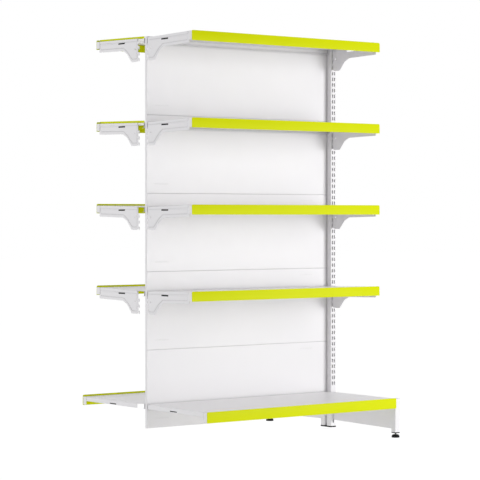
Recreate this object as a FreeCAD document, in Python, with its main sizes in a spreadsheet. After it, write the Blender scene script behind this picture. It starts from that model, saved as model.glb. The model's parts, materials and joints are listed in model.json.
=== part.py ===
import FreeCAD, Part
import math
import os
import Sketcher

# Double-sided gondola bay. Millimetres, +Z up, floor at Z 0, shelves run along X, panels on the plane Y 0.
# The front side faces -Y. Empty shelves lean up outwards; their heights are measured at the panel plane.

os.makedirs("parts", exist_ok=True)
doc = FreeCAD.newDocument("gondola_bay")
sheet = doc.addObject("Spreadsheet::Sheet", "Sizes")
vector = FreeCAD.Vector


class Dim:
    """A size with its present value and the sheet formula that it comes from."""

    def __init__(self, value, text):
        self.value = value
        self.text = text

    def join(self, other, sign, value):
        return Dim(value, f"({self.text}{sign}{dim(other).text})")

    def __add__(self, other):
        return self.join(other, "+", self.value + dim(other).value)

    def __sub__(self, other):
        return self.join(other, "-", self.value - dim(other).value)

    def __mul__(self, other):
        return self.join(other, "*", self.value * dim(other).value)

    def __truediv__(self, other):
        return self.join(other, "/", self.value / dim(other).value)

    def __neg__(self):
        return dim(0) - self


def dim(size):
    return size if isinstance(size, Dim) else Dim(size, str(size))


def cell(alias, value, note):
    """Put one driving size on its own row of the sheet."""
    row = cell.row = cell.row + 1
    sheet.set(f"A{row}", note)
    sheet.set(f"B{row}", str(value))
    sheet.setAlias(f"B{row}", alias)
    return Dim(value, f"Sizes.{alias}")


cell.row = 0

# Bay and post
bay_pitch = cell("bay_pitch", 1010, "post axis to the axis of the neighbour's post")
post_wide = cell("post_wide", 30, "post tube width")
post_deep = cell("post_deep", 70, "post depth over both tubes")
post_top = cell("post_top", 1705, "top of the post")
tube_wall = cell("tube_wall", 2, "wall of the post tubes")
tube_round = cell("tube_round", 2.5, "outer corner radius of the post tubes")
groove_wide = cell("groove_wide", 14, "panel groove between the tubes")
web_thick = cell("web_thick", 3, "web plate between the tubes")
foot_low = cell("foot_low", 11, "underside of the post foot above the floor")
foot_thick = cell("foot_thick", 5, "thickness of the post foot")
foot_over = cell("foot_over", 1, "overhang of the post foot round the post")
foot_round = cell("foot_round", 3, "corner radius of the post foot")

# Slots of the post
slot_pitch = cell("slot_pitch", 25, "pitch of the bracket slots")
slot_first = cell("slot_first", 199.5, "lower edge of the lowest bracket slot")
slot_count = cell("slot_count", 60, "bracket slots in one row")
slot_wide = cell("slot_wide", 5, "width of a bracket slot")
slot_tall = cell("slot_tall", 15, "height of a bracket slot")
slot_row = cell("slot_row", 5.5, "bracket slot row from the post axis")
leg_slot_first = cell("leg_slot_first", 31, "lower edge of the lowest leg slot")
leg_slot_pitch = cell("leg_slot_pitch", 44, "pitch of the leg slots")
leg_slot_count = cell("leg_slot_count", 3, "leg slots in one post tube")
leg_slot_wide = cell("leg_slot_wide", 6.5, "width of a leg slot")
leg_slot_tall = cell("leg_slot_tall", 12, "height of a leg slot")

# Back panels
panel_low = cell("panel_low", 67, "underside of the lowest panel")
panel_pitch = cell("panel_pitch", 326, "height of one panel")
panel_short = cell("panel_short", 20, "left end of a panel right of the neighbour's post axis")
panel_thick = cell("panel_thick", 13.4, "thickness of a panel")
panel_skin = cell("panel_skin", 1, "sheet of a panel")
panel_gap = cell("panel_gap", 0.5, "panel end to the web plate")
panel_step = cell("panel_step", 6, "thickness of the step under the panels")
panel_round = cell("panel_round", 2.2, "bend radius along the panel edges")
press_mark_long = cell("press_mark_long", 68, "length of a pressed mark of a panel")
press_mark_tall = cell("press_mark_tall", 4, "height of a pressed mark of a panel")
press_mark_deep = cell("press_mark_deep", 0.4, "depth of a pressed mark of a panel")
low_mark_end = cell("low_mark_end", 40, "low pressed mark to the end of the panel")
low_mark_up = cell("low_mark_up", 38, "low pressed mark to the lower edge of the panel")
high_mark_end = cell("high_mark_end", 98, "high pressed mark to the other end of the panel")
high_mark_drop = cell("high_mark_drop", 25, "high pressed mark to the upper edge of the panel")

# Shelves
top_slot = cell("top_slot", 58, "slot number of the top shelf")
shelf_slots = cell("shelf_slots", 14, "slots between two shelves")
shelf_gap = cell("shelf_gap", 6, "gap between the shelves of two bays")
tray_sheet = cell("tray_sheet", 1, "sheet of the trays")
tray_inner = cell("tray_inner", 12, "panel plane to the inner edge of a tray")
tray_lip = cell("tray_lip", 21, "height of the inner lip of a tray")
tray_return = cell("tray_return", 12, "folded return of the inner lip")
tray_flange = cell("tray_flange", 10, "height of the end flanges of a shelf tray")
tray_ear = cell("tray_ear", 24, "depth of the taller outer end of an end flange")
tray_slit = cell("tray_slit", 2, "slit between an end flange and its taller outer end")
tray_round = cell("tray_round", 1.2, "outer bend radius of the trays")
post_clear = cell("post_clear", 4, "tray corner to the post")
shelf_slope = cell("shelf_slope", 0.022, "rise of a shelf per millimetre of its depth")

# Price strips
strip_front = cell("strip_front", 346, "panel plane to the face of a shelf strip")
strip_tall = cell("strip_tall", 39, "height of a shelf strip")
front_rise = cell("front_rise", 2, "front price strip above its tray")
rear_rise = cell("rear_rise", 7.5, "rear price strip above its tray")
strip_thick = cell("strip_thick", 1.5, "wall of the price strips")
strip_round = cell("strip_round", 3, "corner radius of the strip face")
strip_relief = cell("strip_relief", 1, "strip channel to the end flange of the tray")
strip_gap = cell("strip_gap", 0.5, "strip channel under the tray")
end_strip_tall = cell("end_strip_tall", 9.5, "height of an end strip")
end_strip_base = cell("end_strip_base", 12, "width of the base of an end strip")
end_strip_gap = cell("end_strip_gap", 1, "end strip to the price strip and to the tray edge")

# Brackets
plate_thick = cell("plate_thick", 2, "bracket plate")
press_deep = cell("press_deep", 0.4, "height of the pressed field of a bracket")
press_edge = cell("press_edge", 13, "pressed field to the lower edge of a bracket")
press_knee = cell("press_knee", 7.8, "pressed field above the top of the slanted edge")
line_wide = cell("line_wide", 2.5, "width of the pressed line under the field")
line_deep = cell("line_deep", 1, "depth of the pressed line under the field")
bracket_tall = cell("bracket_tall", 94.2, "height of a bracket at its inner edge")
bracket_reach = cell("bracket_reach", 290, "post face to the outer end of a bracket")
bracket_gap = cell("bracket_gap", 2, "bracket edge to the post face")
bracket_heel = cell("bracket_heel", 10, "post face to the start of the lowest edge")
bracket_toe = cell("bracket_toe", 48, "post face to the end of the lowest edge")
bracket_knee = cell("bracket_knee", 82, "post face to the top of the slanted edge")
bracket_knee_up = cell("bracket_knee_up", 37, "height of the top of the slanted edge")
bracket_root = cell("bracket_root", 112, "post face to the start of the arm")
bracket_root_up = cell("bracket_root_up", 51, "height of the arm edge at its start")
bracket_tip_up = cell("bracket_tip_up", 55, "height of the arm edge at the outer end")
bracket_round = cell("bracket_round", 22, "rounding between slanted edge and arm")
bracket_corner = cell("bracket_corner", 5, "rounding of the other bracket corners")
hook_low = cell("hook_low", 6.5, "lowest hook neck above the bracket edge")
hook_neck = cell("hook_neck", 7, "height of a hook neck")
hook_drop = cell("hook_drop", 6, "hook below its neck")
hook_deep = cell("hook_deep", 8, "hook tip behind the post face")
hook_gap = cell("hook_gap", 0.3, "hook to the inner face of the post wall")
hole_size = cell("hole_size", 6.5, "round hole of a bracket")
hole_out = cell("hole_out", 21.5, "post face to the round hole")
hole_up = cell("hole_up", 52, "height of the round hole")
mark_long = cell("mark_long", 48, "length of the long bracket slot")
mark_tall = cell("mark_tall", 6, "height of the long bracket slot")
mark_out = cell("mark_out", 97, "post face to the long bracket slot")
mark_drop = cell("mark_drop", 11, "top edge of the bracket to the long slot")

# Base
base_deck = cell("base_deck", 168.5, "top of a base tray")
base_front = cell("base_front", 451.5, "panel plane to the face of a base strip")
base_gap = cell("base_gap", 3, "gap between the base trays of two bays")
base_strip_tall = cell("base_strip_tall", 43, "height of a base strip")
base_flange = cell("base_flange", 18, "height of the end flanges of a base tray")
base_mark_out = cell("base_mark_out", 160, "post face to the slot of a base tray")
base_mark_drop = cell("base_mark_drop", 11.5, "top of a base tray to its slot")
base_mark_tall = cell("base_mark_tall", 4, "height of the slot of a base tray")
leg_thick = cell("leg_thick", 3, "leg plate")
leg_side = cell("leg_side", 1, "left face of the leg left of the post axis")
leg_low = cell("leg_low", 44, "underside of the leg at the post")
leg_low_out = cell("leg_low_out", 38, "underside of the leg at the tube")
leg_ledge = cell("leg_ledge", 14, "width of the ledge under the base tray")
ledge_thick = cell("ledge_thick", 2, "thickness of the ledge under the base tray")
leg_tube = cell("leg_tube", 25, "square tube of the leg")
leg_tube_low = cell("leg_tube_low", 23, "underside of the leg tube")
leg_tube_wall = cell("leg_tube_wall", 2, "wall of the leg tube")
leg_gap = cell("leg_gap", 1, "leg tube to the base strip")
leg_hook_neck = cell("leg_hook_neck", 7, "height of a leg hook neck")
leg_hook_drop = cell("leg_hook_drop", 4.5, "leg hook below its neck")
leg_post_gap = cell("leg_post_gap", 0.5, "leg edge to the post face")

# Levelling feet
cap_thick = cell("cap_thick", 4, "flange of a leg cap")
cap_plug = cell("cap_plug", 14, "plug of a leg cap inside the tube")
stud_size = cell("stud_size", 8, "levelling stud")
stud_low = cell("stud_low", 5, "lower end of the stud")
stud_top = cell("stud_top", 80, "upper end of the stud")
stud_clear = cell("stud_clear", 0.1, "radial clearance round the stud")
pad_size = cell("pad_size", 34, "foot pad")
pad_tall = cell("pad_tall", 13, "height of a foot pad")
pad_round = cell("pad_round", 8.5, "rounding of the upper edge of a foot pad")
doc.recompute()

SIDES = ("front", "rear")
PANELS = 5
SHELVES = 4
BRACKET_HOOKS = 3
LEG_HOOKS = 2
NEAR = 0.01
PARALLEL = 0.999
# Share of its width by which the pressed line of a bracket is set outwards, so that it keeps its width on the slant
LINE_SHIFT = 0.7
FRONT_TURN = FreeCAD.Rotation(vector(0, -1, 0), vector(0, 0, 1), vector(-1, 0, 0), "XYZ")
REAR_TURN = FreeCAD.Rotation(vector(0, 1, 0), vector(0, 0, 1), vector(1, 0, 0), "XYZ")
HALF_TURN = FreeCAD.Rotation(vector(0, 0, 1), 180)
NO_TURN = FreeCAD.Rotation()

# The origin lies in the middle between the left ends of the base strips and the right edge of the foot pads.
post_x = (bay_pitch + leg_side - leg_tube / 2 - pad_size / 2) / 2
bay_mid = post_x - bay_pitch / 2
panel_long = bay_pitch - web_thick / 2 - panel_gap - panel_short
tray_long = bay_pitch - shelf_gap
base_long = bay_pitch - base_gap
post_face = post_deep / 2
tube_deep = (post_deep - groove_wide) / 2
post_low = foot_low + foot_thick
hook_rise = hook_low + slot_pitch * (BRACKET_HOOKS - 1)
LEVEL = dim(0)
STRIP_RISE = {"front": front_rise, "rear": rear_rise}
made = []


def place(item, turn, x, y, z):
    item.Placement = FreeCAD.Placement(vector(x.value, y.value, z.value), turn)
    for axis, size in zip("xyz", (x, y, z)):
        item.setExpression(f"Placement.Base.{axis}", size.text)


def finish(item, label):
    """Name a finished piece, so that it is written out under that name."""
    item.Label = label
    made.append(item)


def block(name, *spans):
    """Box over a (low, high) span on each axis."""
    box = doc.addObject("Part::Box", name)
    for side, axis, (low, high) in zip(("Length", "Width", "Height"), "xyz", spans):
        box.setExpression(side, (dim(high) - low).text)
        box.setExpression(f"Placement.Base.{axis}", dim(low).text)
    return box


def rod(name, radius, x, y, low, high):
    """Upright cylinder."""
    cylinder = doc.addObject("Part::Cylinder", name)
    cylinder.setExpression("Radius", dim(radius).text)
    cylinder.setExpression("Height", (dim(high) - low).text)
    place(cylinder, NO_TURN, x, y, dim(low))
    return cylinder


def join(name, shapes):
    fused = doc.addObject("Part::MultiFuse", name)
    fused.Shapes = shapes
    fused.Refine = True
    return fused


def cut(name, base, tool):
    rest = doc.addObject("Part::Cut", name)
    rest.Base = base
    rest.Tool = tool
    return rest


def edges_along(shape, axis, wanted):
    """Numbers of the straight edges along an axis whose middle satisfies a test."""
    found = []
    for number, edge in enumerate(shape.Edges, 1):
        if not isinstance(edge.Curve, (Part.Line, Part.LineSegment)):
            continue
        if abs(edge.tangentAt(edge.FirstParameter).dot(axis)) > PARALLEL and wanted(edge.CenterOfMass):
            found.append(number)
    return found


def round_edges(name, base, axis, radius, wanted=lambda middle: True):
    """Fillet of one radius on the chosen edges of a primitive."""
    doc.recompute()
    fillet = doc.addObject("Part::Fillet", name)
    fillet.Base = base
    fillet.Edges = [(n, radius.value, radius.value) for n in edges_along(base.Shape, axis, wanted)]
    return fillet


def sketch_on(body, role, name):
    sketch = body.newObject("Sketcher::SketchObject", name)
    plane = [feature for feature in body.Origin.OriginFeatures if feature.Role == role][0]
    sketch.AttachmentSupport = [(plane, "")]
    sketch.MapMode = "FlatFace"
    return sketch


def pin(sketch, geometry, point, size, kind, axis):
    """Hold one coordinate of a sketch point at a sheet formula."""
    if size.text == "0":
        sketch.addConstraint(Sketcher.Constraint("PointOnObject", geometry, point, axis))
        return
    number = sketch.addConstraint(Sketcher.Constraint(kind, -1, 1, geometry, point, size.value))
    sketch.setExpression(f"Constraints[{number}]", size.text)


def outline(sketch, corners):
    """Closed outline with every corner pinned to the sheet."""
    corners = [(dim(x), dim(y)) for x, y in corners]
    points = [vector(x.value, y.value, 0) for x, y in corners]
    first = sketch.GeometryCount
    for start, end in zip(points, points[1:] + points[:1]):
        sketch.addGeometry(Part.LineSegment(start, end))
    for index, (x, y) in enumerate(corners):
        before = first + (index - 1) % len(corners)
        sketch.addConstraint(Sketcher.Constraint("Coincident", before, 2, first + index, 1))
        pin(sketch, first + index, 1, x, "DistanceX", -2)
        pin(sketch, first + index, 1, y, "DistanceY", -1)


def rectangle(sketch, x, y, wide, tall):
    x, y = dim(x), dim(y)
    outline(sketch, [(x, y), (x + wide, y), (x + wide, y + tall), (x, y + tall)])


def circle(sketch, x, y, size):
    number = sketch.addGeometry(Part.Circle(vector(x.value, y.value, 0), vector(0, 0, 1), size.value / 2))
    pin(sketch, number, 3, x, "DistanceX", -2)
    pin(sketch, number, 3, y, "DistanceY", -1)
    bound = sketch.addConstraint(Sketcher.Constraint("Diameter", number, size.value))
    sketch.setExpression(f"Constraints[{bound}]", size.text)


def pad(body, sketch, length, reverse=False):
    feature = body.newObject("PartDesign::Pad", sketch.Name + "_pad")
    feature.Profile = sketch
    feature.setExpression("Length", length.text)
    feature.Reversed = reverse
    return feature


def pocket(body, sketch, length, reverse=False):
    feature = body.newObject("PartDesign::Pocket", sketch.Name + "_pocket")
    feature.Profile = sketch
    feature.setExpression("Length", length.text)
    feature.Reversed = reverse
    return feature


def repeat_up(body, feature, pitch, count):
    """Repeat a pocket upwards along the post."""
    pattern = body.newObject("PartDesign::LinearPattern", feature.Name + "_row")
    pattern.Originals = [feature]
    axis = [line for line in body.Origin.OriginFeatures if line.Role == "Z_Axis"][0]
    pattern.Direction = (axis, [""])
    pattern.setExpression("Length", (pitch * (count - 1)).text)
    pattern.setExpression("Occurrences", count.text)
    body.Tip = pattern


def bend(body, feature, radius, wanted):
    """Fillet on the edges of a plate that run through its thickness."""
    doc.recompute()
    fillet = body.newObject("PartDesign::Fillet", feature.Name + "_round")
    names = [f"Edge{n}" for n in edges_along(feature.Shape, vector(0, 0, 1), wanted)]
    fillet.Base = (feature, names)
    fillet.setExpression("Radius", radius.text)
    return fillet


def near(*corners):
    """Test for an edge that stands on one of the given outline corners."""
    places = [(dim(x).value, dim(y).value) for x, y in corners]
    return lambda middle: any(abs(middle.x - x) + abs(middle.y - y) < NEAR for x, y in places)


def slots_in_post(body, name, axes, low, size, pitch, count):
    """Rows of slots in the face of a post tube, one row on each of the given axes."""
    wide, tall = size
    sketch = sketch_on(body, "XZ_Plane", name)
    for x in axes:
        rectangle(sketch, x - wide / 2, low - post_low, wide, tall)
    repeat_up(body, pocket(body, sketch, tube_wall), pitch, count)


def post_tube(side):
    """Slotted tube; its own y runs from the slotted face towards the panels."""
    body = doc.addObject("PartDesign::Body", f"tube_{side}")
    section = sketch_on(body, "XY_Plane", f"tube_{side}_section")
    rectangle(section, 0, 0, post_wide, tube_deep)
    rectangle(section, tube_wall, tube_wall, post_wide - tube_wall * 2, tube_deep - tube_wall * 2)
    wall = pad(body, section, post_top - post_low)
    corners = [(x, y) for x in (0, post_wide) for y in (0, tube_deep)]
    bend(body, wall, tube_round, near(*corners))
    middle = post_wide / 2
    rows = [middle - slot_row, middle + slot_row]
    slots_in_post(body, f"slots_{side}", rows, slot_first, (slot_wide, slot_tall), slot_pitch, slot_count)
    size = (leg_slot_wide, leg_slot_tall)
    slots_in_post(body, f"leg_slots_{side}", [middle], leg_slot_first, size, leg_slot_pitch, leg_slot_count)
    if side == "front":
        place(body, NO_TURN, post_x - post_wide / 2, -post_face, post_low)
    else:
        place(body, HALF_TURN, post_x + post_wide / 2, post_face, post_low)
    finish(body, f"{side}_post")


def post():
    """Both tubes, the web plate that joins them and the foot plate."""
    for side in SIDES:
        post_tube(side)
    half = groove_wide / 2
    web_left = post_x - web_thick / 2
    plate = block("web_plate", (web_left, post_x + web_thick / 2), (-half, half), (post_low, post_top))
    step_left = post_x - post_wide / 2
    step = block("web_step", (step_left, web_left), (-half, half), (panel_low - panel_step, panel_low))
    finish(join("web", [plate, step]), "post_web")
    reach = post_wide / 2 + foot_over
    deep = post_face + foot_over
    foot = block("foot_plate", (post_x - reach, post_x + reach), (-deep, deep), (foot_low, post_low))
    finish(round_edges("foot_round_plate", foot, vector(0, 0, 1), foot_round), "post_foot")


def panel(number):
    """Hollow sheet panel with a pressed mark near two opposite corners of each face."""
    name = f"panel_{number}"
    half = panel_thick / 2
    outer = block(name + "_outer", (0, panel_long), (-half, half), (0, panel_pitch))
    shell = round_edges(name + "_shell", outer, vector(1, 0, 0), panel_round)
    inside = half - panel_skin
    length = (panel_skin, panel_long - panel_skin)
    hollow = block(name + "_hollow", length, (-inside, inside), (panel_skin, panel_pitch - panel_skin))
    low = (low_mark_up, low_mark_up + press_mark_tall)
    high_top = panel_pitch - high_mark_drop
    high = (high_top - press_mark_tall, high_top)
    low_far = low_mark_end + press_mark_long
    high_far = high_mark_end + press_mark_long
    near_low = (low_mark_end, low_far)
    far_low = (panel_long - low_far, panel_long - low_mark_end)
    near_high = (high_mark_end, high_far)
    far_high = (panel_long - high_far, panel_long - high_mark_end)
    floor = half - press_mark_deep
    tools = [hollow]
    for skin, lower, upper in (((-half, -floor), near_low, far_high), ((floor, half), far_low, near_high)):
        tools.append(block(name + "_low_mark", lower, skin, low))
        tools.append(block(name + "_high_mark", upper, skin, high))
    skin_panel = cut(name + "_body", shell, join(name + "_tools", tools))
    left = post_x - web_thick / 2 - panel_gap - panel_long
    place(skin_panel, NO_TURN, left, LEVEL, panel_low + panel_pitch * (number - 1))
    finish(skin_panel, name)


def lay(item, label, side, deck, slope):
    """Turn a shelf piece to its side, lean it up outwards and set it at the height of its tray top."""
    lean = FreeCAD.Rotation(vector(1, 0, 0), -math.degrees(math.atan(slope.value)))
    place(item, lean if side == "front" else HALF_TURN * lean, bay_mid, LEVEL, deck)
    finish(item, label)


# The pieces of a shelf are drawn level for the front side, with the tray top on z 0.
def tray(label, length, front, strip, flange, side, deck, slope, slotted=False):
    """Folded tray, symmetric along its length, with a slot in both end flanges if it is slotted."""
    end = length / 2
    lip_low = STRIP_RISE[side] - strip + strip_thick
    outer = -(front - strip_thick)
    corner = -(post_face + post_clear)
    inner = -tray_inner
    short = bay_pitch / 2 - post_wide / 2 - post_clear
    fold = -tray_lip
    sheet = (-tray_sheet, 0)
    pieces = [
        block(label + "_deck", (-end, end), (outer, corner), sheet),
        block(label + "_tongue", (-short, short), (corner, inner), sheet),
        block(label + "_outer_lip", (-end, end), (outer, outer + tray_sheet), (lip_low, 0)),
        block(label + "_inner_lip", (-short, short), (inner - tray_sheet, inner), (fold, 0)),
        block(label + "_return", (-short, short), (inner - tray_return, inner), (fold, fold + tray_sheet)),
    ]
    for x in ((-end, -end + tray_sheet), (end - tray_sheet, end)):
        pieces.append(block(label + "_flange", x, (outer + tray_ear + tray_slit, corner), (-flange, 0)))
        pieces.append(block(label + "_ear", x, (outer, outer + tray_ear), (lip_low, 0)))
    folded = join(label + "_folded", pieces)
    if slotted:
        slot_out = post_face + base_mark_out
        slot_y = (-(slot_out + mark_long), -slot_out)
        slot_z = (-(base_mark_drop + base_mark_tall), -base_mark_drop)
        folded = cut(label + "_slotted", folded, block(label + "_slot", (-end, end), slot_y, slot_z))

    def outer_edge(middle):
        return middle.z > -NEAR and middle.y < outer.value + NEAR

    bent = round_edges(label + "_bent", folded, vector(1, 0, 0), tray_round, outer_edge)
    lay(bent, label, side, deck, slope)


def price_strip(label, length, channel, front, tall, side, deck, slope):
    """Label strip: a face plate with a channel behind it that holds the outer lip of the tray."""
    end = length / 2
    top = STRIP_RISE[side]
    low = top - tall
    face = block(label + "_face", (-end, end), (-front, -front + strip_thick), (low, top))
    plate = round_edges(label + "_plate", face, vector(0, 1, 0), strip_round)
    back = -front + strip_thick
    leg = back + tray_sheet
    short = channel / 2 - tray_sheet - strip_relief
    web = block(label + "_web", (-short, short), (back, leg + strip_thick), (low, low + strip_thick))
    clip = block(label + "_clip", (-short, short), (leg, leg + strip_thick), (low, -(tray_sheet + strip_gap)))
    lay(join(label + "_strip", [plate, web, clip]), label, side, deck, slope)


def end_strip(label, deck):
    """Angle strip that stands on a rear tray along its open left end."""
    end = bay_pitch / 2 - post_wide / 2 - post_clear - end_strip_gap
    span = (-(strip_front - strip_thick - end_strip_gap), -(tray_inner + end_strip_gap))
    wall = block(label + "_wall", (end - strip_thick, end), span, (0, end_strip_tall))
    base = block(label + "_base", (end - end_strip_base, end), span, (0, strip_thick))
    lay(join(label + "_angle", [wall, base]), label, "rear", deck, shelf_slope)


def hooks(edge, low, pitch, count, neck, drop, inner):
    """Corners of downward hooks on the inner edge of a plate, from the top one to the lowest."""
    corners = []
    for number in range(count - 1, -1, -1):
        seat = dim(low) + pitch * number
        corners += [(edge, seat + neck), (0, seat + neck), (0, seat - drop)]
        corners += [(inner, seat - drop), (inner, seat), (edge, seat)]
    return corners


def pressed_field(body, name, outer_first):
    """Raised field on the outer face of a bracket, with a pressed line along its lower side."""
    left = hook_deep + bracket_heel
    right = hook_deep + bracket_reach - press_edge
    top = bracket_tall - tray_flange - press_deep
    lower_side = [
        (left, press_edge),
        (hook_deep + bracket_toe - press_edge / 2, press_edge),
        (hook_deep + bracket_knee - press_edge / 2, bracket_knee_up + press_knee),
        (hook_deep + bracket_root - press_edge / 2, bracket_root_up + press_edge),
        (right, bracket_tip_up + press_edge),
    ]
    shift = line_wide * LINE_SHIFT
    line_low = [(x + out, y - line_wide) for (x, y), out in zip(lower_side, (0, shift, shift, shift, 0))]

    def on_outer_face(part):
        sketch = sketch_on(body, "XY_Plane", name + part)
        if not outer_first:
            sketch.setExpression("AttachmentOffset.Base.z", plate_thick.text)
        return sketch

    press = on_outer_face("_press")
    outline(press, lower_side + [(right, top), (left, top)])
    circle(press, hook_deep + hole_out, hole_up, hole_size)
    pad(body, press, press_deep, reverse=outer_first)
    line = on_outer_face("_line")
    outline(line, lower_side + line_low[::-1])
    pocket(body, line, line_deep, reverse=outer_first)


def bracket(side, shelf, end, low):
    """Hooked plate; its own x runs outwards from the hook tips, y upwards from the lowest edge."""

    def under_tray(out):
        return bracket_tall + (out - bracket_gap) * shelf_slope

    name = f"bracket_{side}_{shelf}_{end}"
    body = doc.addObject("PartDesign::Body", name + "_body")
    edge = hook_deep + bracket_gap
    catch = hook_deep - tube_wall - hook_gap
    heel = (hook_deep + bracket_heel, 0)
    toe = (hook_deep + bracket_toe, 0)
    knee = (hook_deep + bracket_knee, bracket_knee_up)
    root = (hook_deep + bracket_root, bracket_root_up)
    tip = (hook_deep + bracket_reach, bracket_tip_up)
    tip_top = (hook_deep + bracket_reach, under_tray(bracket_reach))
    shape = sketch_on(body, "XY_Plane", name + "_outline")
    teeth = hooks(edge, hook_low, slot_pitch, BRACKET_HOOKS, hook_neck, hook_drop, catch)
    outline(shape, [heel, toe, knee, root, tip, tip_top, (edge, bracket_tall)] + teeth)
    circle(shape, hook_deep + hole_out, hole_up, hole_size)
    plate = pad(body, shape, plate_thick)
    arm = bend(body, plate, bracket_round, near(root))
    bend(body, arm, bracket_corner, near(toe, tip, tip_top, knee))
    pressed_field(body, name, (side == "front") == (end == "right"))
    mark = sketch_on(body, "XY_Plane", name + "_mark")
    mark.setExpression("AttachmentOffset.Base.z", (-press_deep).text)
    rectangle(mark, hook_deep + mark_out, under_tray(mark_out) - mark_drop - mark_tall, mark_long, mark_tall)
    pocket(body, mark, plate_thick + press_deep * 2, reverse=True)
    row = slot_row if end == "left" else bay_pitch - slot_row
    offset = plate_thick / 2 if side == "front" else -(plate_thick / 2)
    x = post_x - bay_pitch + row + offset
    y = -(post_face - hook_deep) if side == "front" else post_face - hook_deep
    place(body, FRONT_TURN if side == "front" else REAR_TURN, x, y, low)
    finish(body, name)


def outward(side, low, high):
    """Span on Y between two distances from the panel plane."""
    return (-high, -low) if side == "front" else (low, high)


def leg(side):
    """Base leg: hooked plate, square tube at its outer end and ledge under the base tray."""
    name = f"leg_{side}"
    tube_out = base_front - strip_thick * 2 - tray_sheet - leg_gap
    tube_in = tube_out - leg_tube
    seat_top = base_deck - base_flange
    under = base_deck - tray_sheet
    body = doc.addObject("PartDesign::Body", name + "_plate")
    shape = sketch_on(body, "XY_Plane", name + "_outline")
    edge = hook_deep + leg_post_gap
    reach = hook_deep + tube_in - post_face
    top = under - leg_low
    corners = [(edge, 0), (reach, leg_low_out - leg_low), (reach, top), (edge, top)]
    seat = leg_slot_first + leg_slot_pitch - leg_low
    catch = hook_deep - tube_wall - hook_gap
    teeth = hooks(edge, seat, leg_slot_pitch, LEG_HOOKS, leg_hook_neck, leg_hook_drop, catch)
    outline(shape, corners + teeth)
    pad(body, shape, leg_thick)
    left = post_x - leg_side
    if side == "front":
        place(body, FRONT_TURN, left + leg_thick, -(post_face - hook_deep), leg_low)
    else:
        place(body, REAR_TURN, left, post_face - hook_deep, leg_low)
    wide = (left, left + leg_tube)
    high = (leg_tube_low, under)
    solid = block(name + "_tube", wide, outward(side, tube_in, tube_out), high)
    wall = leg_tube_wall
    bore_wide = (left + wall, left + leg_tube - wall)
    bore = block(name + "_bore", bore_wide, outward(side, tube_in + wall, tube_out - wall), high)
    ledge_span = outward(side, post_face + post_clear, tube_in)
    ledge_high = (seat_top - ledge_thick, seat_top)
    ledge = block(name + "_ledge", (left - leg_ledge, left), ledge_span, ledge_high)
    finish(join(name + "_welded", [body, cut(name + "_hollow", solid, bore), ledge]), name)
    x = left + leg_tube / 2
    y = (tube_in + tube_out) / 2
    levelling_foot(side, x, -y if side == "front" else y)


def levelling_foot(side, x, y):
    """Threaded cap in the leg tube, the stud in it and the domed pad on the floor."""
    name = f"foot_{side}"
    half = leg_tube / 2
    inside = half - leg_tube_wall
    cap_low = leg_tube_low - cap_thick
    bore = stud_size / 2 + stud_clear
    plug_top = leg_tube_low + cap_plug

    def square(part, reach, low, high):
        return block(name + part, (x - reach, x + reach), (y - reach, y + reach), (low, high))

    flange = square("_cap_flange", half, cap_low, leg_tube_low)
    plug = square("_cap_plug", inside, leg_tube_low, plug_top)
    cap_hole = rod(name + "_cap_hole", bore, x, y, cap_low, plug_top)
    finish(cut(name + "_cap", join(name + "_cap_solid", [flange, plug]), cap_hole), f"leg_cap_{side}")
    finish(rod(name + "_stud", stud_size / 2, x, y, stud_low, stud_top), f"foot_stud_{side}")
    doc.recompute()
    dome = doc.addObject("Part::Fillet", name + "_dome")
    dome.Base = rod(name + "_disc", pad_size / 2, x, y, 0, pad_tall)
    doc.recompute()
    rims = [n for n, rim in enumerate(dome.Base.Shape.Edges, 1) if rim.BoundBox.ZMin > pad_tall.value / 2]
    dome.Edges = [(n, pad_round.value, pad_round.value) for n in rims]
    socket = rod(name + "_socket", bore, x, y, stud_low, pad_tall)
    finish(cut(name + "_pad", dome, socket), f"foot_pad_{side}")


def bracket_low(shelf):
    """Lowest edge of the brackets of a shelf whose upper hooks sit in their slots."""
    seat = slot_first + slot_pitch * (top_slot - shelf_slots * (shelf - 1))
    return seat - hook_rise


def shelf_deck(shelf):
    """Top of a leaning shelf tray, carried on to the panel plane."""
    sheet = tray_sheet * math.hypot(1, shelf_slope.value)
    return bracket_low(shelf) + bracket_tall - (post_face + bracket_gap) * shelf_slope + sheet


post()
for number in range(1, PANELS + 1):
    panel(number)
for side in SIDES:
    for shelf in range(1, SHELVES + 1):
        for end in ("left", "right"):
            bracket(side, shelf, end, bracket_low(shelf))
        laid = (side, shelf_deck(shelf), shelf_slope)
        tray(f"tray_{side}_{shelf}", tray_long, strip_front, strip_tall, tray_flange, *laid)
        price_strip(f"price_strip_{side}_{shelf}", tray_long, tray_long, strip_front, strip_tall, *laid)
    laid = (side, base_deck, LEVEL)
    tray(f"base_tray_{side}", base_long, base_front, base_strip_tall, base_flange, *laid, slotted=True)
    price_strip(f"base_strip_{side}", bay_pitch, base_long, base_front, base_strip_tall, *laid)
    leg(side)
for shelf in (1, 2):
    end_strip(f"end_strip_rear_{shelf}", shelf_deck(shelf))
doc.recompute()

for item in doc.Objects:
    if "Invalid" in item.State or "Error" in item.State:
        raise RuntimeError(f"{item.Label} could not be computed: {item.State}")
for item in made:
    shape = item.Shape
    if shape.isNull() or not shape.isValid() or len(shape.Solids) != 1:
        raise RuntimeError(f"{item.Label} is not one valid solid")
    shape.exportStep(f"parts/{item.Label}.step")
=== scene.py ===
"""Looks of a double-sided shop gondola bay: white powder-coated steel with yellow price strips."""
import json
import math

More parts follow.
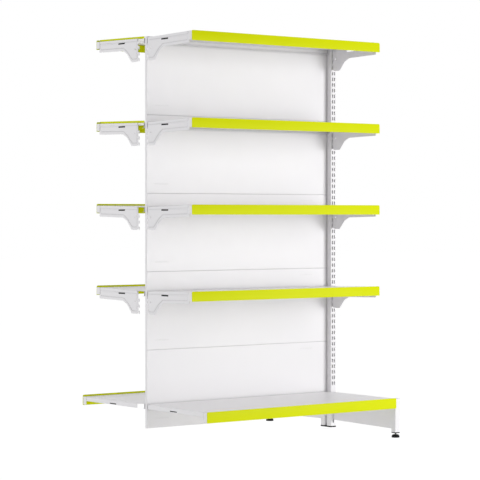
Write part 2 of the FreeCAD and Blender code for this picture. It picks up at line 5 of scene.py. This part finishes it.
import bpy
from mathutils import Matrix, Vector


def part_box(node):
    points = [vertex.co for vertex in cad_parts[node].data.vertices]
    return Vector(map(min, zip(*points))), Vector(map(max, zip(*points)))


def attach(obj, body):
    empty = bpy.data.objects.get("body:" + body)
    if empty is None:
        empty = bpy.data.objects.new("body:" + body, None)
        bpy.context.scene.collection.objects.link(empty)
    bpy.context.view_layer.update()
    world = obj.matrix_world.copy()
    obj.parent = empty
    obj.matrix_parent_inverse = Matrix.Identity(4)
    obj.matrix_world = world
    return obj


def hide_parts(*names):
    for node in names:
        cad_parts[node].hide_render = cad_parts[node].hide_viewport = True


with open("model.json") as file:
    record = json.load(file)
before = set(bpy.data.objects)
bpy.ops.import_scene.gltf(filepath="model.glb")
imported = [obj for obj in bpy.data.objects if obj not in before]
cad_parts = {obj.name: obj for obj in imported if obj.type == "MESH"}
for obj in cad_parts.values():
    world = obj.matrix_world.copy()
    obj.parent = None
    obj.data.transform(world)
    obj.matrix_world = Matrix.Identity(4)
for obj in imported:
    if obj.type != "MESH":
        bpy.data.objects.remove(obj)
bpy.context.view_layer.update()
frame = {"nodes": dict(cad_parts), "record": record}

# Each side of the bay with its direction along Y, and the shelves from the top one down
SIDES = (("front", -1), ("rear", 1))
SHELVES = range(1, 5)

# Colour sockets of a Mix node: the two inputs and the result
MIX_FIRST = 6
MIX_SECOND = 7
MIX_RESULT = 2
# Dot product of the rounded and the flat normal, on a flat and on a sharp edge
FLAT_TURN = 0.999
SHARP_TURN = 0.86
EDGE_SAMPLES = 6
# Share of the surroundings that a surface sees, in the open and deep in a gap
OPEN_VIEW = 0.97
GAP_VIEW = 0.3
GAP_SAMPLES = 8


# Finishes
def add_node(tree, kind, inputs=(), **settings):
    """One node in a tree, with its settings and its input sockets set or linked."""
    node = tree.nodes.new(kind)
    for setting, value in settings.items():
        setattr(node, setting, value)
    for socket, value in dict(inputs).items():
        if isinstance(value, bpy.types.NodeSocket):
            tree.links.new(value, node.inputs[socket])
        else:
            node.inputs[socket].default_value = value
    return node


class Finish:
    """A material in the making: its nodes, its shader and the piece's own coordinates in metres."""

    def __init__(self, name, **sockets):
        self.material = bpy.data.materials.new(name)
        self.material.use_nodes = True
        self.tree = self.material.node_tree
        self.shader = self.tree.nodes["Principled BSDF"]
        self.place = self.add("ShaderNodeTexCoord").outputs["Object"]
        for socket, value in sockets.items():
            self.shader.inputs[socket.replace("_", " ")].default_value = value

    def add(self, kind, inputs=(), **settings):
        return add_node(self.tree, kind, inputs, **settings)

    def link(self, output, socket):
        self.tree.links.new(output, self.shader.inputs[socket])

    def drawn(self, x, y, z):
        """Coordinates squeezed along the three directions; the least squeezed one draws a pattern out."""
        return self.add("ShaderNodeMapping", {"Vector": self.place, "Scale": (x, y, z)}).outputs["Vector"]

    def noise(self, scale, detail, rough=0.5, where=None):
        vector = self.place if where is None else where
        inputs = {"Vector": vector, "Scale": scale, "Detail": detail, "Roughness": rough}
        return self.add("ShaderNodeTexNoise", inputs).outputs["Fac"]

    def span(self, value, low=0.0, high=1.0, start=0.3, end=0.7):
        """A value brought from start..end to low..high."""
        inputs = {"Value": value, "From Min": start, "From Max": end, "To Min": low, "To Max": high}
        return self.add("ShaderNodeMapRange", inputs).outputs["Result"]

    def times(self, first, second):
        return self.add("ShaderNodeMath", {0: first, 1: second}, operation="MULTIPLY").outputs["Value"]

    def plus(self, first, second):
        return self.add("ShaderNodeMath", {0: first, 1: second}, operation="ADD").outputs["Value"]

    def mix(self, share, first, second):
        """Two colours mixed by a share; a colour is a link, or red, green and blue."""
        first, second = ((*colour, 1) if isinstance(colour, tuple) else colour for colour in (first, second))
        inputs = {"Factor": share, MIX_FIRST: first, MIX_SECOND: second}
        return self.add("ShaderNodeMix", inputs, data_type="RGBA").outputs[MIX_RESULT]

    def edges(self, radius):
        """How much the surface turns within a radius, 0 on a flat to 1 on an edge, and its rounded normal."""
        rounded = self.add("ShaderNodeBevel", {"Radius": radius}, samples=EDGE_SAMPLES).outputs["Normal"]
        flat = self.add("ShaderNodeNewGeometry").outputs["Normal"]
        turn = self.add("ShaderNodeVectorMath", {0: rounded, 1: flat}, operation="DOT_PRODUCT")
        return self.span(turn.outputs["Value"], start=FLAT_TURN, end=SHARP_TURN), rounded

    def crevice(self, reach):
        """How shut in the surface is within a reach: 0 in the open, up to 1 deep in a gap."""
        view = self.add("ShaderNodeAmbientOcclusion", {"Distance": reach}, samples=GAP_SAMPLES).outputs["AO"]
        return self.span(view, start=OPEN_VIEW, end=GAP_VIEW)

    def bump(self, height, distance, strength, normal):
        inputs = {"Height": height, "Distance": distance, "Strength": strength, "Normal": normal}
        return self.add("ShaderNodeBump", inputs).outputs["Normal"]


BRIGHT_WHITE = (0.915, 0.903, 0.922)
SOFT_WHITE = (0.899, 0.888, 0.909)
PRIMER_GREY = (0.70, 0.71, 0.72)
# Colour and share of the painted shade that darkens the coat in gaps, corners and seams
GAP_SHADE_GREY = (0.36, 0.36, 0.37)
GAP_SHADE_SHARE = 0.48
SCUFF_ROUGHNESS = 0.06
COARSE_PEEL = 0.6
# Roughness of the coat, from its smoother to its rougher clouds
SATIN = (0.33, 0.43)
MATT = (0.40, 0.50)


def powder_coat(name, scuff_squeeze, roughness):
    """White powder coat: orange peel, a slow drift of tone, scuffs, a thin coat on edges, painted shade in
    gaps.
    """
    coat = Finish(name, IOR=1.5, Coat_Weight=0.12, Coat_Roughness=0.18)
    drift = coat.span(coat.noise(scale=3.1, detail=3.0))
    edge, rounded = coat.edges(radius=0.0012)
    worn = coat.times(edge, coat.span(coat.noise(scale=46.0, detail=4.0), start=0.45, end=0.7))
    streaks = coat.noise(scale=1.0, detail=5.0, rough=0.62, where=coat.drawn(*scuff_squeeze))
    scuffs = coat.span(streaks, start=0.52, end=0.74)
    tone = coat.mix(drift, BRIGHT_WHITE, SOFT_WHITE)
    # Painted shade: the coat is mixed towards grey where nearby surfaces shut it in, in gaps, corners and
    # seams
    gap_shaded = coat.mix(coat.times(coat.crevice(reach=0.012), GAP_SHADE_SHARE), tone, GAP_SHADE_GREY)
    coat.link(coat.mix(worn, gap_shaded, PRIMER_GREY), "Base Color")
    cloudy = coat.span(coat.noise(scale=58.0, detail=3.0), *roughness)
    coat.link(coat.plus(cloudy, coat.times(scuffs, SCUFF_ROUGHNESS)), "Roughness")
    coarse = coat.times(coat.noise(scale=190.0, detail=2.0), COARSE_PEEL)
    peel = coat.plus(coat.noise(scale=620.0, detail=1.5), coarse)
    coat.link(coat.bump(peel, distance=0.00009, strength=0.6, normal=rounded), "Normal")
    return coat.material


STRIP_YELLOW = (0.745, 0.815, 0.002)
PALER_YELLOW = (0.770, 0.835, 0.004)
RUBBED_YELLOW = (0.79, 0.84, 0.06)


def strip_plastic():
    """Glossy yellow extruded strip: fine draw lines along its length, tone drift and rubbed edges."""
    plastic = Finish("yellow strip plastic", IOR=1.5, Specular_IOR_Level=0.04)
    edge, rounded = plastic.edges(radius=0.0009)
    drift = plastic.span(plastic.noise(scale=7.0, detail=3.0))
    tone = plastic.mix(drift, STRIP_YELLOW, PALER_YELLOW)
    worn = plastic.times(edge, plastic.span(plastic.noise(scale=80.0, detail=3.0), start=0.4, end=0.7))
    plastic.link(plastic.mix(worn, tone, RUBBED_YELLOW), "Base Color")
    lines = plastic.noise(scale=1.0, detail=4.0, rough=0.6, where=plastic.drawn(1.6, 520.0, 520.0))
    plastic.link(plastic.span(lines, low=0.24, high=0.36), "Roughness")
    plastic.link(plastic.bump(lines, distance=0.00004, strength=0.5, normal=rounded), "Normal")
    return plastic.material


DEEP_BLACK = (0.006, 0.006, 0.007)
DUSTY_BLACK = (0.011, 0.011, 0.012)
RUBBED_BLACK = (0.045, 0.045, 0.047)
BLACK_WEAR = 0.5


def moulded_black():
    """Matt black moulded plastic: fine spark grain, a slow drift of dust in its tone and paler rubbed edges.
    """
    plastic = Finish("black moulded plastic", IOR=1.46, Specular_IOR_Level=0.12)
    edge, rounded = plastic.edges(radius=0.0008)
    dust = plastic.span(plastic.noise(scale=38.0, detail=4.0, rough=0.6))
    tone = plastic.mix(dust, DEEP_BLACK, DUSTY_BLACK)
    plastic.link(plastic.mix(plastic.times(edge, BLACK_WEAR), tone, RUBBED_BLACK), "Base Color")
    plastic.link(plastic.span(plastic.noise(scale=240.0, detail=2.0), low=0.44, high=0.58), "Roughness")
    grain = plastic.noise(scale=1500.0, detail=2.0)
    plastic.link(plastic.bump(grain, distance=0.00006, strength=0.7, normal=rounded), "Normal")
    return plastic.material


DARK_ZINC = (0.24, 0.24, 0.25)
PALE_ZINC = (0.33, 0.33, 0.32)
BRIGHT_ZINC = (0.44, 0.44, 0.43)
ZINC_WEAR = 0.6


def zinc_plate():
    """Zinc-plated steel: cloudy bluish plate, turning lines round the stud and brighter edges."""
    zinc = Finish("zinc plate", Metallic=1.0)
    edge, rounded = zinc.edges(radius=0.0004)
    cloud = zinc.span(zinc.noise(scale=260.0, detail=3.0, rough=0.6))
    tone = zinc.mix(cloud, DARK_ZINC, PALE_ZINC)
    zinc.link(zinc.mix(zinc.times(edge, ZINC_WEAR), tone, BRIGHT_ZINC), "Base Color")
    turned = zinc.noise(scale=1.0, detail=3.0, rough=0.6, where=zinc.drawn(60.0, 60.0, 4200.0))
    zinc.link(zinc.span(turned, low=0.26, high=0.42), "Roughness")
    zinc.link(zinc.bump(turned, distance=0.00003, strength=0.6, normal=rounded), "Normal")
    return zinc.material


finishes = {
    "white_frame": powder_coat("white frame coat", (260.0, 260.0, 6.0), SATIN),
    "white_panel": powder_coat("white panel coat", (5.0, 5.0, 190.0), SATIN),
    "white_tray": powder_coat("white tray coat", (60.0, 9.0, 60.0), MATT),
    "white_bracket": powder_coat("white bracket coat", (40.0, 40.0, 40.0), SATIN),
    "yellow_strip": strip_plastic(),
    "black_plastic": moulded_black(),
    "zinc_steel": zinc_plate(),
}
for part in frame["record"]["subparts"]:
    skin = frame["nodes"][part["node"]].data.materials
    skin.clear()
    skin.append(finishes[part["material_slot"]])


# Modelling by hand, in metres
# Points nearer than this count as one, and a normal with this share of a direction faces that way
NEAR = 0.00001
FACING = 0.9
QUARTER_TURN = math.radians(90)
SMOOTH_PLASTIC = math.radians(35)
SMOOTH_THREAD = math.radians(30)
SOFT_STEPS = 2


def begin():
    bpy.ops.object.select_all(action="DESELECT")


def pick(piece, kind, wanted):
    """Go into edit mode with only the wanted faces or edges selected."""
    bpy.ops.object.mode_set(mode="EDIT")
    bpy.ops.mesh.select_mode(type=kind)
    bpy.ops.mesh.select_all(action="DESELECT")
    bpy.ops.object.mode_set(mode="OBJECT")
    for item in piece.data.polygons if kind == "FACE" else piece.data.edges:
        item.select = wanted(item)
    bpy.ops.object.mode_set(mode="EDIT")


def ends(piece, edge):
    """The places of an edge's two ends."""
    return [piece.data.vertices[corner].co for corner in edge.vertices]


def apply_modifier(piece, name, kind, **settings):
    modifier = piece.modifiers.new(name, kind)
    for setting, value in settings.items():
        setattr(modifier, setting, value)
    bpy.ops.object.modifier_apply(modifier=name)


def place_copy(model, name, place, turn=(0, 0, 0)):
    """Copy a model with its own mesh, turned and put in its place, with the object left at the origin."""
    piece = model.copy()
    piece.data = model.data.copy()
    piece.name = name
    bpy.context.collection.objects.link(piece)
    begin()
    piece.select_set(True)
    bpy.context.view_layer.objects.active = piece
    piece.rotation_euler = turn
    piece.location = place
    bpy.ops.object.transform_apply(location=True, rotation=True, scale=False)
    return piece


# Plugs in the slots of the brackets and base trays at the free left end of the bay
POST_FACE = 0.035
TRAY_SHEET = 0.001
PLUG_PLAY = 0.0001
PLUG_SINK = 0.0002
SLOT_LONG = 0.048
BRACKET_SLOT = {"out": 0.097, "up": 0.07929, "tall": 0.006}
BASE_SLOT = {"out": 0.160, "down": 0.0115, "tall": 0.004}
# Rim and slope of the dished field are shares of the plug's height, dish and soft edges of its thickness
PLUG_RIM = 0.14
PLUG_SLOPE = 0.10
PLUG_DISH = 0.16
PLUG_SOFT = 0.09


def model_plug(thick, slot_tall):
    """Moulded slot plug round the origin: a slip with a rim and a dished field on both faces."""
    begin()
    long = SLOT_LONG - 2 * PLUG_PLAY
    tall = slot_tall - 2 * PLUG_PLAY
    bpy.ops.mesh.primitive_cube_add(size=1, scale=(thick, long, tall))
    plug = bpy.context.object
    bpy.ops.object.transform_apply(location=False, rotation=False, scale=True)
    pick(plug, "FACE", lambda face: abs(face.normal.x) > FACING)
    bpy.ops.mesh.inset(thickness=tall * PLUG_RIM, depth=0)
    bpy.ops.mesh.inset(thickness=tall * PLUG_SLOPE, depth=-thick * PLUG_DISH)
    bpy.ops.object.mode_set(mode="OBJECT")
    apply_modifier(plug, "soft edges", "BEVEL", width=thick * PLUG_SOFT, segments=SOFT_STEPS,
                   limit_method="ANGLE")
    bpy.ops.object.shade_smooth_by_angle(angle=SMOOTH_PLASTIC)
    plug.data.materials.append(finishes["black_plastic"])
    return plug


def put_plug(model, name, place, body):
    """Put a plug in its slot, to move with the piece that has the slot."""
    plug = place_copy(model, name, place)
    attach(plug, body)


def slot_plugs():
    low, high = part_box("bracket_front_1_left")
    bracket_plug = model_plug(high[0] - low[0] - 2 * PLUG_SINK, BRACKET_SLOT["tall"])
    base_plug = model_plug(TRAY_SHEET - PLUG_SINK, BASE_SLOT["tall"])
    for side, outward in SIDES:
        y = outward * (POST_FACE + BRACKET_SLOT["out"] + SLOT_LONG / 2)
        for shelf in SHELVES:
            low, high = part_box(f"bracket_{side}_{shelf}_left")
            place = ((low[0] + high[0]) / 2, y, low[2] + BRACKET_SLOT["up"] + BRACKET_SLOT["tall"] / 2)
            put_plug(bracket_plug, f"slot_plug_{side}_{shelf}", place, f"brackets_{side}_{shelf}")
        low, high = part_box(f"base_tray_{side}")
        y = outward * (POST_FACE + BASE_SLOT["out"] + SLOT_LONG / 2)
        place = (low[0] + TRAY_SHEET / 2, y, high[2] - BASE_SLOT["down"] - BASE_SLOT["tall"] / 2)
        put_plug(base_plug, f"slot_plug_{side}_base", place, f"base_{side}")
    for model in (bracket_plug, base_plug):
        bpy.data.objects.remove(model)


slot_plugs()


# Threads of the levelling studs
THREAD_PITCH = 0.00125
THREAD_STEPS = 24
SPARE_TURNS = 2


def threaded_stud(side):
    """Stud with its thread: a three-cornered ridge wound up the stud and cut off square at both ends."""
    node = f"foot_stud_{side}"
    low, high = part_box(node)
    radius = (high[0] - low[0]) / 2
    ridge = THREAD_PITCH / math.sqrt(3)
    turns = math.ceil((high[2] - low[2]) / THREAD_PITCH) + SPARE_TURNS
    begin()
    start = ((low[0] + high[0]) / 2, (low[1] + high[1]) / 2, low[2] - THREAD_PITCH)
    bpy.ops.mesh.primitive_circle_add(vertices=3, radius=ridge, location=start,
                                      rotation=(QUARTER_TURN, QUARTER_TURN, 0))
    stud = bpy.context.object
    stud.name = f"threaded_stud_{side}"
    bpy.ops.object.transform_apply(location=False, rotation=True, scale=False)
    bpy.ops.object.mode_set(mode="EDIT")
    bpy.ops.mesh.select_all(action="SELECT")
    bpy.ops.transform.translate(value=(radius - ridge, 0, 0))
    pick(stud, "EDGE", lambda edge: all(end.x < radius - ridge for end in ends(stud, edge)))
    bpy.ops.mesh.delete(type="EDGE")
    bpy.ops.object.mode_set(mode="OBJECT")
    apply_modifier(stud, "thread", "SCREW", axis="Z", screw_offset=THREAD_PITCH, iterations=turns,
                   steps=THREAD_STEPS, render_steps=THREAD_STEPS)
    bpy.ops.object.transform_apply(location=True, rotation=False, scale=False)
    bpy.ops.object.mode_set(mode="EDIT")
    bpy.ops.mesh.select_all(action="SELECT")
    bpy.ops.mesh.remove_doubles(threshold=NEAR)
    for height, below, above in ((low[2], True, False), (high[2], False, True)):
        bpy.ops.mesh.select_all(action="SELECT")
        bpy.ops.mesh.bisect(plane_co=(0, 0, height), plane_no=(0, 0, 1), use_fill=True,
                            clear_inner=below, clear_outer=above)
    bpy.ops.mesh.select_all(action="SELECT")
    bpy.ops.mesh.normals_make_consistent(inside=False)
    bpy.ops.object.mode_set(mode="OBJECT")
    bpy.ops.object.shade_smooth_by_angle(angle=SMOOTH_THREAD)
    stud.data.materials.append(finishes["zinc_steel"])
    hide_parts(node)
    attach(stud, f"stud_{side}")


for side, _ in SIDES:
    threaded_stud(side)


# Price strips: a face plate with rounded ends, and behind it the channel that holds the outer lip of a tray
# The shelves rise outwards by this share of their depth, and the strips lean with them
SHELF_RISE = 0.022
SHELF_LEAN = math.atan(SHELF_RISE)
STRIP_WALL = 0.0015
STRIP_TALL = 0.039
# How far the face reaches below the plain strip that it replaces
STRIP_HEM = 0.0016
STRIP_SOFT = 0.0002
SOFT_FROM = math.radians(50)
TOP_CORNER = 0.006
TOP_STEPS = 6
LOW_CORNER = 0.0025
LOW_STEPS = 4
# How far the channel ends before the ends of the strip, and its gap below the top of the tray
CHANNEL_SHORT = 0.002
CHANNEL_GAP = 0.0015
# How far the top of the tray lies below the upper edge of the strip
TRAY_DOWN = {"front": 0.002, "rear": 0.0075}


def pull_faces(strip, wanted, move):
    """Extrude the faces that are wanted by a move."""
    pick(strip, "FACE", wanted)
    bpy.ops.mesh.extrude_region_move(TRANSFORM_OT_translate={"value": move})
    bpy.ops.object.mode_set(mode="OBJECT")


def round_corners(strip, wanted, radius, steps):
    """Bevel the edges that go through the face plate and start at a wanted point."""
    def through(edge):
        one, other = ends(strip, edge)
        return abs(one.y - other.y) > NEAR and wanted(one)

    pick(strip, "EDGE", through)
    bpy.ops.mesh.bevel(offset=radius, segments=steps, affect="EDGES")
    bpy.ops.object.mode_set(mode="OBJECT")


def cut_across(place, normal):
    """Split the faces of the piece in hand along a plane."""
    bpy.ops.object.mode_set(mode="EDIT")
    bpy.ops.mesh.select_all(action="SELECT")
    bpy.ops.mesh.bisect(plane_co=place, plane_no=normal)
    bpy.ops.object.mode_set(mode="OBJECT")


def model_strip(length, tall, channel, tray_down):
    """Price strip with the middle of its upper front edge at the origin and its face towards -Y."""
    begin()
    bottom = -(tall + STRIP_HEM)
    middle = bottom / 2
    bpy.ops.mesh.primitive_cube_add(size=1, scale=(length, STRIP_WALL, -bottom),
                                    location=(0, STRIP_WALL / 2, middle))
    strip = bpy.context.object
    bpy.ops.object.transform_apply(location=True, rotation=False, scale=True)
    round_corners(strip, lambda point: point.z > middle, TOP_CORNER, TOP_STEPS)
    round_corners(strip, lambda point: point.z < bottom + NEAR, LOW_CORNER, LOW_STEPS)
    for x in (-channel / 2, channel / 2):
        cut_across((x, 0, 0), (1, 0, 0))
    web_top = bottom + STRIP_WALL
    cut_across((0, 0, web_top), (0, 0, 1))
    pull_faces(strip, lambda face: face.normal.y > FACING and face.center.z < web_top
               and abs(face.center.x) < channel / 2, (0, TRAY_SHEET + STRIP_WALL, 0))
    clip_from = STRIP_WALL + TRAY_SHEET
    cut_across((0, clip_from, 0), (0, 1, 0))
    clip_tall = -tray_down - CHANNEL_GAP - web_top
    pull_faces(strip, lambda face: face.normal.z > FACING and face.center.y > clip_from, (0, 0, clip_tall))
    apply_modifier(strip, "soft edges", "BEVEL", width=STRIP_SOFT, segments=SOFT_STEPS, limit_method="ANGLE",
                   angle_limit=SOFT_FROM, use_clamp_overlap=False)
    bpy.ops.object.shade_smooth_by_angle(angle=SMOOTH_PLASTIC)
    strip.data.materials.append(finishes["yellow_strip"])
    return strip


def put_strip(model, node, name, tall, lean, outward, body):
    """Put a strip in the place of its plain one, leaned as the shelf is and turned to its side."""
    low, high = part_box(node)
    edge = low[1] if outward < 0 else high[1]
    place = ((low[0] + high[0]) / 2, edge - outward * tall * math.sin(lean), high[2])
    strip = place_copy(model, name, place, turn=(-lean, 0, 0 if outward < 0 else math.pi))
    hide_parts(node)
    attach(strip, body)


def price_strips():
    for side, outward in SIDES:
        low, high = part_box(f"price_strip_{side}_1")
        length = high[0] - low[0]
        model = model_strip(length, STRIP_TALL, length - 2 * CHANNEL_SHORT, TRAY_DOWN[side])
        for shelf in SHELVES:
            put_strip(model, f"price_strip_{side}_{shelf}", f"label_strip_{side}_{shelf}",
                      STRIP_TALL, SHELF_LEAN, outward, f"shelf_{side}_{shelf}")
        bpy.data.objects.remove(model)
        low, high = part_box(f"base_strip_{side}")
        tray_low, tray_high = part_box(f"base_tray_{side}")
        tall = high[2] - low[2]
        channel = tray_high[0] - tray_low[0] - 2 * CHANNEL_SHORT
        model = model_strip(high[0] - low[0], tall, channel, TRAY_DOWN[side])
        put_strip(model, f"base_strip_{side}", f"label_strip_{side}_base", tall, 0, outward, f"base_{side}")
        bpy.data.objects.remove(model)


price_strips()


# Floor, light and camera
FLOOR_SIZE = 60
FLOOR_GREY = (0.2, 0.2, 0.2, 1)
FLOOR_GLOW = 0.905
SURROUND_WHITE = (1, 1, 1, 1)
SURROUND_FILL = 0.49
SURROUND_SHOWN = 1.0


def looked_at(tree):
    """1 for what the camera, a gloss or glass sees, and 0 for what lights the object."""
    path = tree.nodes.new("ShaderNodeLightPath")
    seen = path.outputs["Is Camera Ray"]
    for ray in ("Is Glossy Ray", "Is Transmission Ray"):
        either = add_node(tree, "ShaderNodeMath", {0: seen, 1: path.outputs[ray]}, operation="MAXIMUM")
        seen = either.outputs["Value"]
    return seen


def studio_floor():
    """Lit glass floor: white to the eye with the object's shadow on it, and light comes up through it."""
    begin()
    bpy.ops.mesh.primitive_plane_add(size=FLOOR_SIZE, location=(0, 0, 0))
    floor = bpy.context.object
    floor.name = "studio_floor"
    paint = bpy.data.materials.new("studio floor paint")
    paint.use_nodes = True
    tree = paint.node_tree
    tree.nodes.clear()
    clear = add_node(tree, "ShaderNodeBsdfTransparent").outputs["BSDF"]
    shadow = add_node(tree, "ShaderNodeBsdfDiffuse", {"Color": FLOOR_GREY}).outputs["BSDF"]
    white = add_node(tree, "ShaderNodeEmission", {"Strength": FLOOR_GLOW}).outputs["Emission"]
    shown = add_node(tree, "ShaderNodeAddShader", {0: shadow, 1: white}).outputs["Shader"]
    either = add_node(tree, "ShaderNodeMixShader", {"Fac": looked_at(tree), 1: clear, 2: shown})
    add_node(tree, "ShaderNodeOutputMaterial", {"Surface": either.outputs["Shader"]})
    floor.data.materials.append(paint)


def studio_world():
    """Even white surround: it lights the object at the fill level and shows as white itself."""
    world = bpy.data.worlds.new("studio surround")
    world.use_nodes = True
    tree = world.node_tree
    inputs = {"Value": looked_at(tree), "To Min": SURROUND_FILL, "To Max": SURROUND_SHOWN}
    level = add_node(tree, "ShaderNodeMapRange", inputs).outputs["Result"]
    background = tree.nodes["Background"]
    background.inputs["Color"].default_value = SURROUND_WHITE
    tree.links.new(level, background.inputs["Strength"])
    bpy.context.scene.world = world


def soft_lamp(name, watts, size, stand, aim):
    """Square soft box that stands at one point and faces another."""
    bpy.ops.object.light_add(type="AREA", location=stand)
    lamp = bpy.context.object
    lamp.name = name
    lamp.data.energy = watts
    lamp.data.size = size
    facing = Vector(stand) - Vector(aim)
    lamp.rotation_euler = facing.to_track_quat("Z", "Y").to_euler()


studio_floor()
studio_world()
soft_lamp("right_soft_box", watts=47, size=2.0, stand=(2.2, -3.5, 1.4), aim=(0, 0, 0.80))
soft_lamp("right_low_box", watts=33, size=2.0, stand=(2.2, -3.5, 0.5), aim=(0, 0, 0.60))
soft_lamp("left_soft_box", watts=60, size=2.5, stand=(-4.5, 2.2, 1.0), aim=(0, 0, 0.85))
soft_lamp("back_low_box", watts=52, size=2.0, stand=(1.2, 4.5, -0.3), aim=(0, 0, 0.70))
soft_lamp("under_floor_box", watts=19, size=3.0, stand=(0, -0.6, -1.8), aim=(0, -0.3, 0.20))

# The photo's view: its place in metres, its angles in degrees and a lens and sensor in millimetres
CAMERA_PLACE = (-5.22608, -6.77358, 0.95717)
CAMERA_DOWN = 0.7376
CAMERA_TURN = -37.616
CAMERA_LENS = 148.956
CAMERA_SENSOR = 36
CAMERA_REACH = 100

bpy.ops.object.camera_add(location=CAMERA_PLACE)
camera = bpy.context.object
camera.rotation_euler = (math.radians(90 - CAMERA_DOWN), 0, math.radians(CAMERA_TURN))
camera.data.lens = CAMERA_LENS
camera.data.sensor_width = CAMERA_SENSOR
camera.data.clip_end = CAMERA_REACH
bpy.context.scene.camera = camera
bpy.context.scene.view_settings.view_transform = "Standard"
